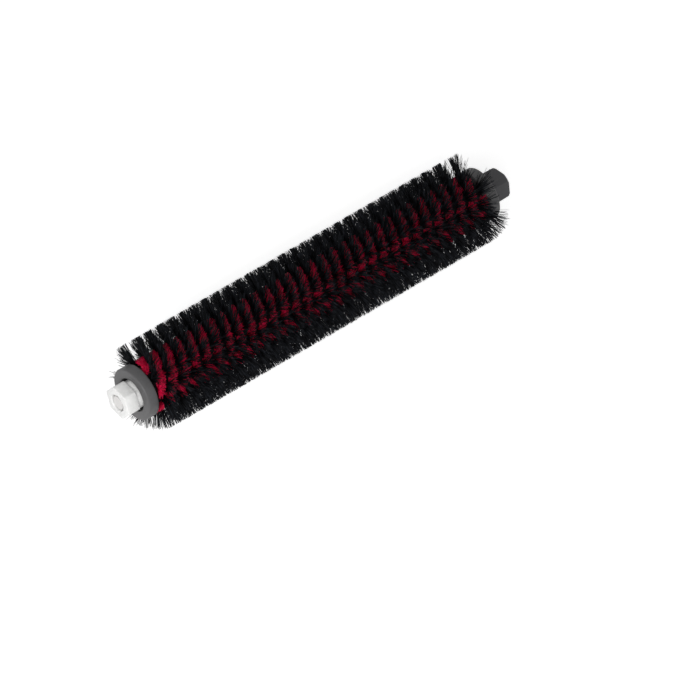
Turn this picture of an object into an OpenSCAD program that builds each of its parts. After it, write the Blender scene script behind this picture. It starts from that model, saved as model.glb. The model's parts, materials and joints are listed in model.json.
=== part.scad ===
// Tufted cleaning roller for the washing tray of a robot mop: short red bristles
// between long black ones, set in a left-handed spiral on a drilled plastic core.
// The roller lies on the tips of its bristles. X runs along its axis, from the white
// bearing bush to the square drive, and the origin is on the surface under its middle.

/* [Brush] */
// Diameter over the trimmed black bristles
brush_d = 35; // [32:0.5:38]
// Diameter over the short red bristles
red_d = 21.5; // [19:0.5:24]
// Length between the two collars
tufted_len = 158.7; // [80:0.1:200]
// Depth by which the lowest tips are pressed flat
flat_depth = 0.4; // [0.2:0.1:0.8]

/* [Tufts] */
// Spiral starts of each colour
starts = 5; // [3:1:6]
// Rows of tufts around the core
columns = 12; // [8:2:14]
// Advance of one spiral start in a full turn
lead = 26.4; // [24:0.1:32]
// Place of a red tuft on the top row, measured from the bush's end face
phase = 13.56; // [12:0.01:18]
// Diameter of a drilled tuft hole
hole_d = 2; // [1.6:0.1:2.1]
// Depth of a drilled tuft hole
hole_depth = 2.4; // [2:0.1:3]
// Width of a black tuft's tip around the roller
fan_round = 6; // [3:0.1:7]
// Width of a black tuft's tip along the roller
fan_along = 4.7; // [2:0.1:4.8]
// Outward lean of the first and last tufts, in degrees
end_lean = 10; // [0:1:12]

/* [Core] */
// Diameter of the drilled core
core_d = 15; // [13:0.5:17]
// Diameter of the spigot that carries the collar at the bush's end
spigot_d = 13.5; // [12.5:0.1:14]
// Diameter of the boss that carries the collar at the drive's end
boss_d = 12.6; // [12.4:0.1:13.2]
// Width across the flats of the square drive
drive_af = 10; // [9:0.1:11]
// Diameter over the drive's turned corners, at its free end
drive_corner_d = 12.1; // [11.6:0.1:12.3]
// Length of the drive beyond its collar
drive_len = 9; // [6:0.5:12]
// Turn of the drive about the axis, as the roller lies, in degrees
drive_turn = -7; // [-45:1:45]

/* [Collars] */
// Outside diameter of both collars
collar_d = 21.1; // [18:0.1:24]
// Width of both collars along the axis
collar_w = 4.6; // [4:0.1:6]

/* [Bearing bush] */
// Width of the bush across its hexagon's flats
hex_af = 12; // [10:0.1:12.6]
// Length of the hexagon
hex_len = 5.4; // [4:0.1:7]
// Diameter of the round neck behind the hexagon
neck_d = 11.6; // [10:0.1:12]
// Gap between the hexagon and the collar
neck_gap = 1.3; // [0.8:0.1:2]
// Turn of the hexagon about the axis, in degrees
bush_turn = -22; // [-30:1:30]

/* [Axle pin] */
// Diameter of the pin's shank
pin_d = 4; // [3:0.1:4.4]
// Diameter of the pin's head
head_d = 5.6; // [5:0.1:5.8]
// Thickness of the pin's head
head_t = 1.5; // [1.2:0.1:2]
// Length of shank pressed into the core
pin_grip = 18; // [12:1:24]

/* [Hidden] */
$fn = 64;

// Places along the axis, measured from the bush's end face
collar_x = hex_len + neck_gap;
tufted_x = collar_x + collar_w;
far_collar_x = tufted_x + tufted_len;
drive_x = far_collar_x + collar_w;
overall_len = drive_x + drive_len;
spigot_len = 1.9;
boss_len = 0.5;
axis_z = brush_d / 2 - flat_depth;

// Clearances and small edges
running_gap = 0.05;
end_gap = 0.2;
head_gap = 0.1;
counterbore_d = head_d + 1.1;
edge = 0.5;
drive_draft = 0.4;

// The tufted lattice
advance = lead / columns;
start_step = lead / starts;
end_margin = 1.9;
lean_reach = 9;
mouth_w = hole_d * 0.7;
fan_reach = (brush_d - core_d) / 2;
round_slope = (fan_round - mouth_w) / fan_reach;
along_slope = (fan_along - mouth_w) / fan_reach;

// Tufts near either end lean outwards, less and less towards the middle.
function lean(x) =
    let (near = max(0, 1 - (x - tufted_x - end_margin) / lean_reach),
         far = max(0, 1 - (far_collar_x - end_margin - x) / lean_reach))
    end_lean * (far - near);

// Stands the children, drawn along +X from the bush's end face, in the part's frame.
module placed() {
    translate([-overall_len / 2, 0, axis_z]) children();
}

// Turns a solid drawn up the Z axis so that it runs along the roller from x.
module along(x) {
    translate([x, 0, 0]) rotate([0, 90, 0]) children();
}

// Puts the children at each hole of one spiral start, with +Z out of the hole's mouth
// and the hole's own lean in $lean.
module each_hole(start_x) {
    first = ceil((tufted_x + end_margin - start_x) / advance);
    last = floor((far_collar_x - end_margin - start_x) / advance);
    for (k = [first : last]) {
        x = start_x + k * advance;
        $lean = lean(x);
        translate([x, 0, 0])
            rotate([-k * 360 / columns, 0, 0])
                translate([0, 0, core_d / 2])
                    rotate([0, $lean, 0])
                        children();
    }
}

// Outline of a tuft seen from one side: pinched in the hole and fanned out above it.
module fan_outline(slope, reach) {
    root = mouth_w / 2 - slope * hole_depth / 2;
    tip = mouth_w / 2 + slope * reach / 2;
    polygon([[-root, -hole_depth], [root, -hole_depth], [tip, reach], [-tip, reach]]);
}

// One tuft, fanned out both along and around the roller. A leaning one is cut shorter,
// so that its raised edge stays at the height of the others.
module tuft(height) {
    depth = fan_round + fan_along;
    reach = (height - fan_along / 2 * sin(abs($lean))) / cos($lean);
    intersection() {
        rotate([90, 0, 0])
            linear_extrude(height = depth, center = true) fan_outline(along_slope, reach);
        rotate([90, 0, 90])
            linear_extrude(height = depth, center = true) fan_outline(round_slope, reach);
    }
}

// A ring with chamfered outer edges, such as both collars.
module collar(bore_d) {
    r = collar_d / 2;
    rotate_extrude()
        polygon([[bore_d / 2, 0], [r - edge, 0], [r, edge],
                 [r, collar_w - edge], [r - edge, collar_w], [bore_d / 2, collar_w]]);
}

// Square bar with turned corners, slightly tapered, with a chamfered end.
module square_drive() {
    end_r = drive_corner_d / 2;
    intersection() {
        translate([-drive_af / 2, -drive_af / 2, 0]) cube([drive_af, drive_af, drive_len]);
        cylinder(r1 = end_r + drive_draft / 2, r2 = end_r, h = drive_len);
        cylinder(r1 = end_r - edge + drive_len, r2 = end_r - edge, h = drive_len);
    }
}

// Drilled core, with a spigot at the bush's end and the boss and drive at the other.
module core() {
    color([0.17, 0.17, 0.19]) placed() difference() {
        union() {
            along(tufted_x - spigot_len) cylinder(d = spigot_d, h = spigot_len + edge);
            along(tufted_x) cylinder(d = core_d, h = tufted_len);
            along(far_collar_x - edge) cylinder(d = boss_d, h = collar_w + boss_len + edge);
            along(drive_x) rotate([0, 0, drive_turn]) square_drive();
        }
        along(tufted_x - spigot_len - edge) cylinder(d = pin_d, h = pin_grip + edge);
        for (start = [0 : 2 * starts - 1])
            each_hole(phase + start * start_step / 2)
                translate([0, 0, -hole_depth]) cylinder(d = hole_d, h = hole_depth + edge, $fn = 16);
    }
}

module near_collar() {
    color([0.62, 0.62, 0.64]) placed() along(collar_x) collar(spigot_d);
}

module far_collar() {
    color([0.62, 0.62, 0.64]) placed() along(far_collar_x) collar(boss_d);
}

// Headed steel pin: the shank is pressed into the core and the head keeps the bush on.
module axle_pin() {
    shank = tufted_x - spigot_len + pin_grip - head_t;
    color([0.75, 0.76, 0.78]) placed() {
        along(0) cylinder(d1 = head_d - edge, d2 = head_d, h = edge / 2);
        along(edge / 2) cylinder(d = head_d, h = head_t - edge / 2);
        along(head_t) cylinder(d = pin_d, h = shank);
    }
}

// Hexagonal bush that the dock holds still while the roller turns on the pin.
module bearing_bush() {
    neck_end = tufted_x - spigot_len - end_gap;
    corner_r = hex_af / sqrt(3);
    color([0.93, 0.93, 0.91]) placed() difference() {
        union() {
            intersection() {
                along(0) rotate([0, 0, bush_turn]) cylinder(r = corner_r, h = hex_len, $fn = 6);
                along(0) cylinder(r1 = corner_r - edge, r2 = corner_r - edge + hex_len, h = hex_len);
                along(0) cylinder(r1 = corner_r - edge + hex_len, r2 = corner_r - edge, h = hex_len);
            }
            along(hex_len / 2) cylinder(d = neck_d, h = neck_end - hex_len / 2);
        }
        along(-edge) cylinder(d = pin_d + 2 * running_gap, h = neck_end + 2 * edge);
        along(-edge) cylinder(d = counterbore_d, h = edge + head_t + head_gap);
    }
}

// One spiral start of long black tufts, with the lowest tips pressed flat.
module black_tufts(start) {
    color([0.1, 0.1, 0.12]) difference() {
        placed() each_hole(phase + (start - 0.5) * start_step) tuft(fan_reach);
        translate([-overall_len / 2, -brush_d / 2, -brush_d])
            cube([overall_len, brush_d, brush_d]);
    }
}

// One spiral start of short red tufts.
module red_tufts(start) {
    color([0.72, 0.05, 0.2]) placed()
        each_hole(phase + start * start_step) tuft((red_d - core_d) / 2);
}

core();
near_collar();
far_collar();
axle_pin();
bearing_bush();
black_tufts(1);  // black_tufts_1
black_tufts(2);  // black_tufts_2
black_tufts(3);  // black_tufts_3
black_tufts(4);  // black_tufts_4
black_tufts(5);  // black_tufts_5
red_tufts(1);  // red_tufts_1
red_tufts(2);  // red_tufts_2
red_tufts(3);  // red_tufts_3
red_tufts(4);  // red_tufts_4
red_tufts(5);  // red_tufts_5
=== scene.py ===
import json
import math

import bpy
import numpy as np
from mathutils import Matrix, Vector


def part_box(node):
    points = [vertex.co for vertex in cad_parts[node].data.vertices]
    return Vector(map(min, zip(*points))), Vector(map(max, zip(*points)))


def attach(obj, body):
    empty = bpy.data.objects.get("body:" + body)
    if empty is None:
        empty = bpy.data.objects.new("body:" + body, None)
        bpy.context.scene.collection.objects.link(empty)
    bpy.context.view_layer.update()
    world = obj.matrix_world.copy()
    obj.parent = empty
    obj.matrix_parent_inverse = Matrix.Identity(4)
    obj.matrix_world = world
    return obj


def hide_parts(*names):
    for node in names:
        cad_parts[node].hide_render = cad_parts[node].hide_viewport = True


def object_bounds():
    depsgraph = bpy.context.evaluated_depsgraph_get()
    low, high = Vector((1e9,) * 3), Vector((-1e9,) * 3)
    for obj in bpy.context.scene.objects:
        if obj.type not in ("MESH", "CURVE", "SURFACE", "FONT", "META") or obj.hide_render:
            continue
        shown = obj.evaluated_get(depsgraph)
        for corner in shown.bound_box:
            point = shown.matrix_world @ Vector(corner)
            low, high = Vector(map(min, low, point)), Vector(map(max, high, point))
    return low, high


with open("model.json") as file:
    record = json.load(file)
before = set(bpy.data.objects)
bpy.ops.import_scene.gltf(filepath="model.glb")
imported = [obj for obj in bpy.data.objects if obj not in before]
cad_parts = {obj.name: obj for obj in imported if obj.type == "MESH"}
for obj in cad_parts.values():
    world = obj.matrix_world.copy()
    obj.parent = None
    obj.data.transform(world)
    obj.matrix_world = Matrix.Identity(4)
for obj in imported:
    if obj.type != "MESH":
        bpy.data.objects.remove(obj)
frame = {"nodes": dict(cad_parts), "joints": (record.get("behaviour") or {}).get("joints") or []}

cad_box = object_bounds()

# Core and square drive
# One dark grey moulding: a round core drilled for the tufts, with a square end that the
# dock's motor turns. Its skin is satin, with the fine grain of a textured mould. Between
# the collars it is darker, for the shade of the real brush's far denser filaments.
CORE_GREY = (0.068, 0.067, 0.071)
SHADED = 0.12


def new_material(name):
    """A node material: returns it, its tree and its Principled shader."""
    material = bpy.data.materials.new(name)
    material.use_nodes = True
    return material, material.node_tree, material.node_tree.nodes["Principled BSDF"]


def paint(piece, material):
    """Every face of the piece wears this material."""
    piece.data.materials.clear()
    piece.data.materials.append(material)


def moulded_plastic(name, colour, roughness, gloss, grain_size, grain_depth):
    """Satin plastic: one colour, mottled by a few percent, with a fine grain as bump."""
    material, tree, shader = new_material(name)
    place = tree.nodes.new("ShaderNodeTexCoord")
    grain = tree.nodes.new("ShaderNodeTexNoise")
    grain.inputs["Scale"].default_value = 1.0 / grain_size
    grain.inputs["Detail"].default_value = 6.0
    tree.links.new(place.outputs["Object"], grain.inputs["Vector"])

    mottle = tree.nodes.new("ShaderNodeMapRange")
    mottle.inputs["To Min"].default_value = 0.88
    mottle.inputs["To Max"].default_value = 1.12
    tree.links.new(grain.outputs["Fac"], mottle.inputs["Value"])
    tint = tree.nodes.new("ShaderNodeVectorMath")
    tint.operation = "SCALE"
    tint.inputs[0].default_value = colour
    tree.links.new(mottle.outputs["Result"], tint.inputs["Scale"])
    tree.links.new(tint.outputs["Vector"], shader.inputs["Base Color"])

    bump = tree.nodes.new("ShaderNodeBump")
    bump.inputs["Strength"].default_value = 0.4
    bump.inputs["Distance"].default_value = grain_depth
    tree.links.new(grain.outputs["Fac"], bump.inputs["Height"])
    tree.links.new(bump.outputs["Normal"], shader.inputs["Normal"])
    shader.inputs["Roughness"].default_value = roughness
    shader.inputs["Specular IOR Level"].default_value = gloss
    return material


def shade_between(material, low_x, high_x, level):
    """Scales the material's colour and gloss by level where x lies between two places."""
    tree = material.node_tree
    shader = tree.nodes["Principled BSDF"]
    colour = shader.inputs["Base Color"].links[0].from_socket
    place = tree.nodes.new("ShaderNodeTexCoord")
    parts = tree.nodes.new("ShaderNodeSeparateXYZ")
    tree.links.new(place.outputs["Object"], parts.inputs["Vector"])
    inside = tree.nodes.new("ShaderNodeMath")
    inside.operation = "COMPARE"
    inside.inputs[1].default_value = (low_x + high_x) / 2
    inside.inputs[2].default_value = (high_x - low_x) / 2
    tree.links.new(parts.outputs["X"], inside.inputs[0])
    darker = tree.nodes.new("ShaderNodeMapRange")
    darker.inputs["To Min"].default_value = 1.0
    darker.inputs["To Max"].default_value = level
    tree.links.new(inside.outputs["Value"], darker.inputs["Value"])
    scaled = tree.nodes.new("ShaderNodeVectorMath")
    scaled.operation = "SCALE"
    tree.links.new(colour, scaled.inputs[0])
    tree.links.new(darker.outputs["Result"], scaled.inputs["Scale"])
    tree.links.new(scaled.outputs["Vector"], shader.inputs["Base Color"])
    gloss = tree.nodes.new("ShaderNodeMath")
    gloss.operation = "MULTIPLY"
    gloss.inputs[1].default_value = shader.inputs["Specular IOR Level"].default_value
    tree.links.new(darker.outputs["Result"], gloss.inputs[0])
    tree.links.new(gloss.outputs["Value"], shader.inputs["Specular IOR Level"])


core_plastic = moulded_plastic("core plastic", CORE_GREY, 0.5, 0.2, 0.0007, 0.00003)
shade_between(core_plastic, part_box("near_collar")[0].x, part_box("far_collar")[1].x, SHADED)
paint(frame["nodes"]["core"], core_plastic)

# Collars
# Two grey moulded rings pressed on the ends of the core, which cover the last tufts'
# roots. Their outer edges are rounded by the mould.
COLLAR_GREY = (0.095, 0.094, 0.096)
COLLAR_ROUND = 0.0006
BORE_EDGE = 0.0002
ROUND_STEPS = 5

AXIS_Z = frame["joints"][0]["pos_m"][2]


def add_mesh(name, points, quads, triangles=np.zeros((0, 3), int)):
    """A smooth mesh object at the origin from arrays of points, quads and triangles."""
    mesh = bpy.data.meshes.new(name)
    loops = np.concatenate([quads.ravel(), triangles.ravel()])
    sizes = np.concatenate([np.full(len(quads), 4), np.full(len(triangles), 3)])
    mesh.vertices.add(len(points))
    mesh.vertices.foreach_set("co", points.astype(np.float32).ravel())
    mesh.loops.add(len(loops))
    mesh.loops.foreach_set("vertex_index", loops.astype(np.int32))
    mesh.polygons.add(len(sizes))
    mesh.polygons.foreach_set("loop_start", (np.cumsum(sizes) - sizes).astype(np.int32))
    mesh.update(calc_edges=True)
    mesh.shade_smooth()
    piece = bpy.data.objects.new(name, mesh)
    bpy.context.scene.collection.objects.link(piece)
    return piece


def turned(name, outline, limit=None, segments=192, crease=28):
    """A closed outline of (x, radius, inset) points turned round the roller's axis. Where
    limit is given, a radius is cut to limit(angle) less the point's inset. The outline
    runs up its low-x side, along its outside and back through its bore."""
    x, radius, inset = (np.array(column)[:, None] for column in zip(*outline))
    angle = np.arange(segments) / segments * 2 * math.pi
    radius = np.broadcast_to(radius, (len(outline), segments))
    if limit is not None:
        radius = np.minimum(radius, limit(angle)[None, :] - inset)
    points = np.stack([
        np.broadcast_to(x, radius.shape),
        radius * np.cos(angle),
        AXIS_Z + radius * np.sin(angle),
    ], axis=-1)
    row, column = np.meshgrid(np.arange(len(outline)), np.arange(segments), indexing="ij")
    next_row, next_column = (row + 1) % len(outline), (column + 1) % segments
    quads = np.stack([
        row * segments + column,
        row * segments + next_column,
        next_row * segments + next_column,
        next_row * segments + column,
    ], axis=-1).reshape(-1, 4)
    piece = add_mesh(name, points.reshape(-1, 3), quads)
    piece.data.set_sharp_from_angle(angle=math.radians(crease))
    return piece


def rounded_corner(x, radius, size, start):
    """A quarter round about (x, radius) that turns clockwise from the start angle."""
    turn = np.radians(start - np.linspace(0, 90, ROUND_STEPS))
    return [(x + size * math.cos(t), radius + size * math.sin(t), 0) for t in turn]


collar_plastic = moulded_plastic("collar plastic", COLLAR_GREY, 0.45, 0.25, 0.0006, 0.00002)
for node, bore in (("near_collar", 0.00675), ("far_collar", 0.0063)):
    low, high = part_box(node)
    rim = (high.y - low.y) / 2 - COLLAR_ROUND
    outline = [(low.x + BORE_EDGE, bore, 0), (low.x, bore + BORE_EDGE, 0)]
    outline += rounded_corner(low.x + COLLAR_ROUND, rim, COLLAR_ROUND, 180)
    outline += rounded_corner(high.x - COLLAR_ROUND, rim, COLLAR_ROUND, 90)
    outline += [(high.x, bore + BORE_EDGE, 0), (high.x - BORE_EDGE, bore, 0)]
    collar = turned("rounded_" + node, outline)
    paint(collar, collar_plastic)
    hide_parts(node)
    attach(collar, "roller")

# Axle pin
# A turned steel pin pressed into the core. Its low domed head keeps the bush on and shows
# in the bush's recess.
STEEL = (0.56, 0.55, 0.54)
HEAD_THICKNESS = 0.0015
HEAD_DOME = 0.00035
SHANK_R = 0.002
POLE_R = 0.00002
DOME_STEPS = 7

steel, tree, shader = new_material("turned steel")
shader.inputs["Base Color"].default_value = (*STEEL, 1)
shader.inputs["Metallic"].default_value = 1.0
shader.inputs["Roughness"].default_value = 0.24
place = tree.nodes.new("ShaderNodeTexCoord")
stretch = tree.nodes.new("ShaderNodeMapping")
stretch.inputs["Scale"].default_value = (9000, 300, 300)
tree.links.new(place.outputs["Object"], stretch.inputs["Vector"])
marks = tree.nodes.new("ShaderNodeTexNoise")
marks.inputs["Scale"].default_value = 1.0
tree.links.new(stretch.outputs["Vector"], marks.inputs["Vector"])
bump = tree.nodes.new("ShaderNodeBump")
bump.inputs["Strength"].default_value = 0.2
bump.inputs["Distance"].default_value = 0.00001
tree.links.new(marks.outputs["Fac"], bump.inputs["Height"])
tree.links.new(bump.outputs["Normal"], shader.inputs["Normal"])

low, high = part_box("axle_pin")
head_r = (high.z - low.z) / 2
outline = [
    (low.x + HEAD_DOME * (1 - math.cos(t)), POLE_R + (head_r - POLE_R) * math.sin(t), 0)
    for t in np.linspace(0, math.pi / 2, DOME_STEPS)
]
outline += [
    (low.x + HEAD_THICKNESS, head_r, 0),
    (low.x + HEAD_THICKNESS, SHANK_R, 0),
    (high.x, SHANK_R, 0),
    (high.x, POLE_R, 0),
]
pin = turned("domed_pin", outline, segments=96)
paint(pin, steel)
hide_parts("axle_pin")
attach(pin, "roller")

# Bearing bush
# A white acetal moulding, slightly translucent: a hexagon that the dock holds still, and
# a round neck that runs into the collar. The pin passes through it.
BUSH_WHITE = (0.8, 0.8, 0.79)
HEX_LENGTH = 0.0054
HEX_FLATS = 0.012
HEX_CORNER = 0.00675
NECK_R = 0.0058
NECK_INSET = 0.0008
RECESS_R = 0.00335
RECESS_DEPTH = 0.0016
BORE_R = 0.00205
BUSH_TURN = math.radians(7.9)
SOFT = 0.0002


def hexagon(angle):
    """Distance from the axis to the hexagon's side: half the flats over the cosine of the
    angle from the middle of that side."""
    from_middle = (angle - BUSH_TURN) % (math.pi / 3) - math.pi / 6
    return HEX_FLATS / 2 / np.cos(from_middle)


low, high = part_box("bearing_bush")
front, shoulder = low.x, low.x + HEX_LENGTH
outline = [
    (front + RECESS_DEPTH, BORE_R, 0),
    (front + RECESS_DEPTH, RECESS_R, 0),
    (front + 2 * SOFT, RECESS_R, 0),
    (front + SOFT, RECESS_R + 0.3 * SOFT, 0),
    (front, RECESS_R + SOFT, 0),
    (front, HEX_CORNER - 2 * SOFT, 2 * SOFT),
    (front + 0.3 * SOFT, HEX_CORNER - 1.2 * SOFT, SOFT),
    (front + SOFT, HEX_CORNER - 0.4 * SOFT, 0.3 * SOFT),
    (front + 2 * SOFT, HEX_CORNER, 0),
    (shoulder - 2 * SOFT, HEX_CORNER, 0),
    (shoulder - SOFT, HEX_CORNER - 0.4 * SOFT, 0.3 * SOFT),
    (shoulder, HEX_CORNER - 2 * SOFT, 2 * SOFT),
    (shoulder, NECK_R + SOFT, NECK_INSET),
    (shoulder + SOFT, NECK_R, NECK_INSET - SOFT),
    (high.x - SOFT, NECK_R, 0),
    (high.x, NECK_R - SOFT, 0),
    (high.x, BORE_R, 0),
]
bush = turned("moulded_bush", outline, limit=hexagon, crease=20)
acetal = moulded_plastic("white acetal", BUSH_WHITE, 0.32, 0.5, 0.0012, 0.00001)
shader = acetal.node_tree.nodes["Principled BSDF"]
shader.inputs["Subsurface Weight"].default_value = 0.4
shader.inputs["Subsurface Radius"].default_value = (0.0012, 0.0012, 0.0012)
shader.inputs["Subsurface Scale"].default_value = 1.0
paint(bush, acetal)
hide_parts("bearing_bush")
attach(bush, "bush")

# Black tufts
# Bundles of black nylon filament, one in each drilled hole; on the real brush each is folded over
# a staple, here each filament starts in the hole's mouth. They fan out above it and are trimmed to
# a cylinder. Five spiral starts run round the core.
STARTS = 5
ROWS = 12
LEAD = 0.0264
FIRST_RED = 0.01356
END_MARGIN = 0.0019
END_LEAN = math.radians(12)
NEAR_SPLAY = 0.4
FAR_SPLAY = 3.0
NEAR_OVERHANG = 0.0028
FAR_OVERHANG = 0.0017
LEAN_REACH = 0.009
CORE_R = 0.0075
MOUTH_R = 0.0009
ROOT_DEPTH = 0.001
BRUSH_R = 0.0175
TIP_TAPER = 0.3
TRIM_ROUNDS = 8
SHORTEST = 0.5
TONE_SKEW = 3
BLACK_COUNT = 74
BLACK_THICKNESS = 0.00024

tufted_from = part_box("near_collar")[1].x
tufted_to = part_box("far_collar")[0].x
bush_face = cad_box[0].x


def hole_places(first):
    """The holes of one spiral start: each row lies one row's share of a turn and of the
    lead on from the last. Returns their places along the axis, their turns from the top,
    their leans and how much wider than the others their tufts fan out to either end."""
    advance = LEAD / ROWS
    start = bush_face + first
    k = np.arange(
        math.ceil((tufted_from + END_MARGIN - start) / advance),
        math.floor((tufted_to - END_MARGIN - start) / advance) + 1,
    )
    x = start + k * advance
    near = np.clip(1 - (x - tufted_from - END_MARGIN) / LEAN_REACH, 0, None)
    far = np.clip(1 - (tufted_to - END_MARGIN - x) / LEAN_REACH, 0, None)
    return x, k * 2 * math.pi / ROWS, END_LEAN * (far - near), NEAR_SPLAY * near, FAR_SPLAY * far


def filament_tufts(name, first, count, reach_r, fan, stray, thickness, rings, seed):
    """Three-sided tapering filaments, which start at random places in their hole's mouth.
    A filament leans by an even share of its tuft's fan, plus a lean of the tuft and one
    of its own, with a bend that grows with the square of its height. The fan lies along
    the spiral: what turns about the axis moves along by the lead's share of that turn. A
    filament ends at the trimmed radius. Near the ends the fan is wider along the roller,
    and no tip passes the ends' trimmed faces by more than its own lean."""
    draw = np.random.default_rng(seed)
    x, turn, lean, to_near, to_far = (values[:, None] for values in hole_places(first))
    tufts = len(x)
    shape = (tufts, count)
    spot_r = MOUTH_R * np.sqrt(draw.random(shape))
    spot_turn = draw.random(shape) * 2 * math.pi
    spot_x, spot_t = spot_r * np.cos(spot_turn), spot_r * np.sin(spot_turn)
    tuft_stray, own_stray, bend, ragged = stray

    share = draw.uniform(-1, 1, shape)
    lean_x = np.tan(lean) + fan[0] * share * np.where(share < 0, 1 + to_near, 1 + to_far)
    lean_x = np.clip(
        lean_x,
        (tufted_from - NEAR_OVERHANG - x) / (BRUSH_R - CORE_R),
        (tufted_to + FAR_OVERHANG - x) / (BRUSH_R - CORE_R),
    )
    lean_x = lean_x + draw.normal(0, own_stray, shape) + draw.normal(0, tuft_stray, (tufts, 1))
    lean_t = fan[1] * draw.uniform(-1, 1, shape)
    lean_t = lean_t + draw.normal(0, own_stray, shape) + draw.normal(0, tuft_stray, (tufts, 1))
    bend_x, bend_t = draw.normal(0, bend, (2, *shape))
    trim = reach_r + np.clip(draw.normal(0, ragged, shape), -3 * ragged, 1.2 * ragged)

    height = np.full(shape, reach_r - CORE_R)
    for _ in range(TRIM_ROUNDS):
        side = spot_t + (lean_t + bend_t) * height
        height = np.sqrt(np.maximum(trim ** 2 - side ** 2, CORE_R ** 2)) - CORE_R
    height = np.minimum(height, (trim - CORE_R) * np.cos(lean))
    height = np.maximum(height, SHORTEST * (reach_r - CORE_R))

    part = np.linspace(0, 1, rings)
    up = part * (height[..., None] + ROOT_DEPTH) - ROOT_DEPTH
    swing = np.clip(up, 0, None) ** 2 / height[..., None]
    around = lean_t[..., None] * up + bend_t[..., None] * swing
    along = lean_x[..., None] * up + bend_x[..., None] * swing
    along = along + LEAD / (2 * math.pi) * np.arctan2(around, CORE_R + up)
    along = along + (x + spot_x)[..., None]
    around = around + spot_t[..., None]

    corner = draw.random(shape)[..., None, None] * 2 * math.pi + np.arange(3) * 2 * math.pi / 3
    half = thickness / 2 * draw.uniform(0.8, 1.2, shape)[..., None, None]
    half = half * (1 - TIP_TAPER * part)[:, None]
    along = along[..., None] + half * np.cos(corner)
    around = around[..., None] + half * np.sin(corner)
    away = np.broadcast_to(CORE_R + up[..., None], along.shape)
    sin_t, cos_t = np.sin(turn)[..., None, None], np.cos(turn)[..., None, None]
    points = np.stack([
        along,
        away * sin_t + around * cos_t,
        np.maximum(AXIS_Z + away * cos_t - around * sin_t, 0.0),
    ], axis=-1)

    first_point = (np.arange(tufts * count) * rings * 3)[:, None, None]
    ring = np.arange(rings - 1)[:, None] * 3
    edge = np.arange(3)
    following = (edge + 1) % 3
    corners = (ring + edge, ring + following, ring + 3 + following, ring + 3 + edge)
    quads = (first_point[..., None] + np.stack(corners, axis=-1)).reshape(-1, 4)
    top = (rings - 1) * 3
    ends = np.array([[0, 2, 1], [top, top + 1, top + 2]])
    triangles = (first_point + ends).reshape(-1, 3)
    piece = add_mesh(name, points.reshape(-1, 3), quads, triangles)

    tone = np.broadcast_to(draw.random(shape)[..., None, None] ** TONE_SKEW, along.shape)
    height_part = np.broadcast_to(part[:, None], along.shape)
    for label, values in (("tone", tone), ("height", height_part)):
        layer = piece.data.attributes.new(label, "FLOAT", "POINT")
        layer.data.foreach_set("value", values.astype(np.float32).ravel())
    return piece


def filament_material(name, root_shade, dark, light, roughness, gloss):
    """Nylon filament: a tone of its own between dark and light, with painted shade darkening it
    down to the roots.
    """
    material, tree, shader = new_material(name)
    tone = tree.nodes.new("ShaderNodeAttribute")
    tone.attribute_name = "tone"
    height = tree.nodes.new("ShaderNodeAttribute")
    height.attribute_name = "height"
    spread = tree.nodes.new("ShaderNodeMix")
    spread.data_type = "RGBA"
    spread.inputs["A"].default_value = (*dark, 1)
    spread.inputs["B"].default_value = (*light, 1)
    tree.links.new(tone.outputs["Fac"], spread.inputs["Factor"])
    # Painted shade: down the filament the colour darkens to the first colour, for the shade deep
    # inside the tuft.
    depth = tree.nodes.new("ShaderNodeMix")
    depth.data_type = "RGBA"
    depth.inputs["A"].default_value = (*root_shade, 1)
    tree.links.new(height.outputs["Fac"], depth.inputs["Factor"])
    tree.links.new(spread.outputs["Result"], depth.inputs["B"])
    tree.links.new(depth.outputs["Result"], shader.inputs["Base Color"])
    shader.inputs["Roughness"].default_value = roughness
    shader.inputs["Specular IOR Level"].default_value = gloss
    return material


# The first colour is the painted shade at the filaments' feet.
black_nylon = filament_material(
    "black nylon", (0.001, 0.001, 0.0015), (0.001, 0.001, 0.0015), (0.032, 0.036, 0.044), 0.5, 0.05
)
for start in range(1, STARTS + 1):
    tufts = filament_tufts(
        f"black_filaments_{start}", FIRST_RED + (start - 0.5) * LEAD / STARTS, BLACK_COUNT,
        BRUSH_R, (0.12, 0.48), (0.02, 0.06, 0.05, 0.00012), BLACK_THICKNESS, 3, start,
    )
    paint(tufts, black_nylon)
    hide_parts(f"black_tufts_{start}")
    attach(tufts, "roller")

# Red tufts
# The same bundles in red and cut short, halfway between the black ones along the axis.
RED_R = 0.0101
RED_COUNT = 135
RED_THICKNESS = 0.00028

# The first colour is the painted shade at the filaments' feet.
red_nylon = filament_material(
    "red nylon", (0.25, 0.001, 0.018), (0.6, 0.003, 0.045), (1.0, 0.01, 0.11), 0.4, 0.15
)
for start in range(1, STARTS + 1):
    tufts = filament_tufts(
        f"red_filaments_{start}", FIRST_RED + start * LEAD / STARTS, RED_COUNT,
        RED_R, (0.6, 1.2), (0.02, 0.14, 0.05, 0.0003), RED_THICKNESS, 2, 100 + start,
    )
    paint(tufts, red_nylon)
    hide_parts(f"red_tufts_{start}")
    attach(tufts, "roller")

# Floor and light
# A white studio floor under soft light: the main lamp is low on the bush's side, a weaker
# one stands in front, and the surround is even and white.
FLOOR_SIZE = 14.0
FLOOR_WHITE = (0.86, 0.86, 0.86, 1)
FLOOR_LIFT = 0.7
SURROUND_LEVEL = 0.25
FULL_LEVEL = math.pi ** 2
middle = Vector((0, 0, AXIS_Z))


def seen_ray(tree):
    """One where a ray comes from the camera, a mirror or through glass, and zero elsewhere."""
    rays = tree.nodes.new("ShaderNodeLightPath")
    seen = rays.outputs["Is Camera Ray"]
    for kind in ("Is Glossy Ray", "Is Transmission Ray"):
        either = tree.nodes.new("ShaderNodeMath")
        either.operation = "MAXIMUM"
        tree.links.new(seen, either.inputs[0])
        tree.links.new(rays.outputs[kind], either.inputs[1])
        seen = either.outputs["Value"]
    return seen


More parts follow.
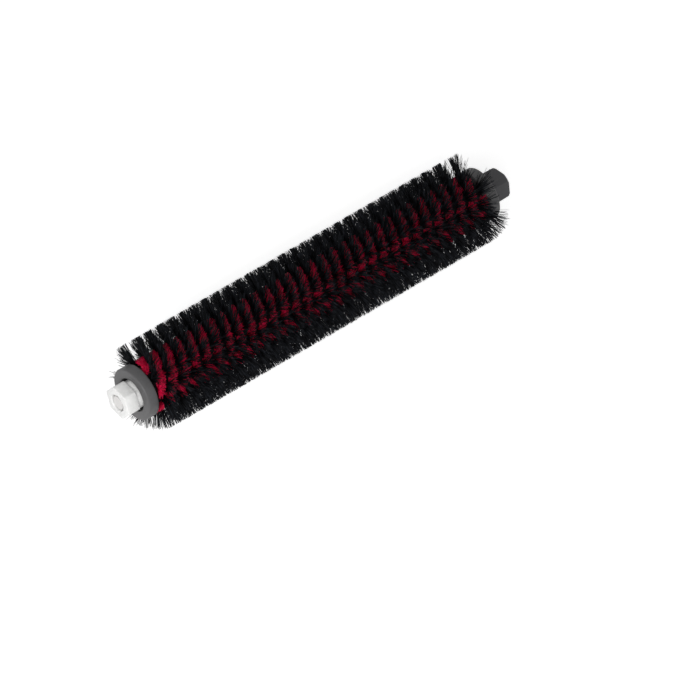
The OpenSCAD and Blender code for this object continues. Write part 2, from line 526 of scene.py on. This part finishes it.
def between(tree, value, low, high):
    """Low where the value is zero and high where it is one."""
    span = tree.nodes.new("ShaderNodeMapRange")
    span.inputs["To Min"].default_value = low
    span.inputs["To Max"].default_value = high
    tree.links.new(value, span.inputs["Value"])
    return span.outputs["Result"]


def direction(azimuth, elevation):
    """Unit vector from the object towards a place seen at these angles, as views use them."""
    a, e = math.radians(azimuth), math.radians(elevation)
    return Vector((math.sin(a) * math.cos(e), -math.cos(a) * math.cos(e), math.sin(e)))


def soft_lamp(name, azimuth, elevation, distance, size, level):
    """A square lamp that faces the roller. At a level of one, a surface square to it shows
    its colour as written."""
    lamp = bpy.data.lights.new(name, "AREA")
    lamp.size = size
    lamp.energy = level * FULL_LEVEL * distance ** 2
    holder = bpy.data.objects.new(name, lamp)
    away = direction(azimuth, elevation)
    holder.location = middle + away * distance
    holder.rotation_mode = "QUATERNION"
    holder.rotation_quaternion = away.to_track_quat("Z", "Y")
    bpy.context.scene.collection.objects.link(holder)


bpy.ops.mesh.primitive_plane_add(size=FLOOR_SIZE, location=(0, 0, 0))
floor = bpy.context.object
floor.name = "floor"
white_floor, tree, shader = new_material("floor")
shader.inputs["Base Color"].default_value = FLOOR_WHITE
shader.inputs["Roughness"].default_value = 0.9
shader.inputs["Specular IOR Level"].default_value = 0.1
shader.inputs["Emission Color"].default_value = (1, 1, 1, 1)
tree.links.new(between(tree, seen_ray(tree), 0.0, FLOOR_LIFT), shader.inputs["Emission Strength"])
paint(floor, white_floor)

world = bpy.data.worlds.new("surround")
bpy.context.scene.world = world
world.use_nodes = True
tree = world.node_tree
surround = tree.nodes["Background"]
surround.inputs["Color"].default_value = (1, 1, 1, 1)
tree.links.new(between(tree, seen_ray(tree), SURROUND_LEVEL, 1.0), surround.inputs["Strength"])

soft_lamp("key", -62, 24, 0.9, 0.35, 0.55)
soft_lamp("front", -30, 38, 1.0, 0.3, 0.25)

# Camera
# The photo's view is almost parallel: the bristles' outline narrows by under two percent
# from end to end, so the camera stands 4 m away with a long lens.
VIEW_AZIMUTH = -39.7
VIEW_ELEVATION = 44.5
VIEW_DISTANCE = 4.06
MM_PER_PIXEL = 0.3692
PHOTO_SIDE = 700
MIDDLE_PIXEL = (311.1, 291.5)

towards = direction(VIEW_AZIMUTH, VIEW_ELEVATION)
rightwards = direction(VIEW_AZIMUTH + 90, 0)
upwards = towards.cross(rightwards)
per_pixel = MM_PER_PIXEL / 1000
aim = middle + rightwards * (PHOTO_SIDE / 2 - MIDDLE_PIXEL[0]) * per_pixel
aim -= upwards * (PHOTO_SIDE / 2 - MIDDLE_PIXEL[1]) * per_pixel
lens = bpy.data.cameras.new("camera")
lens.sensor_width = 36
lens.lens = lens.sensor_width * VIEW_DISTANCE / (PHOTO_SIDE * per_pixel)
lens.clip_start = 0.1
lens.clip_end = 40
camera = bpy.data.objects.new("camera", lens)
camera.location = aim + towards * VIEW_DISTANCE
camera.rotation_mode = "QUATERNION"
camera.rotation_quaternion = towards.to_track_quat("Z", "Y")
bpy.context.scene.collection.objects.link(camera)
bpy.context.scene.camera = camera
bpy.context.scene.view_settings.view_transform = "Standard"
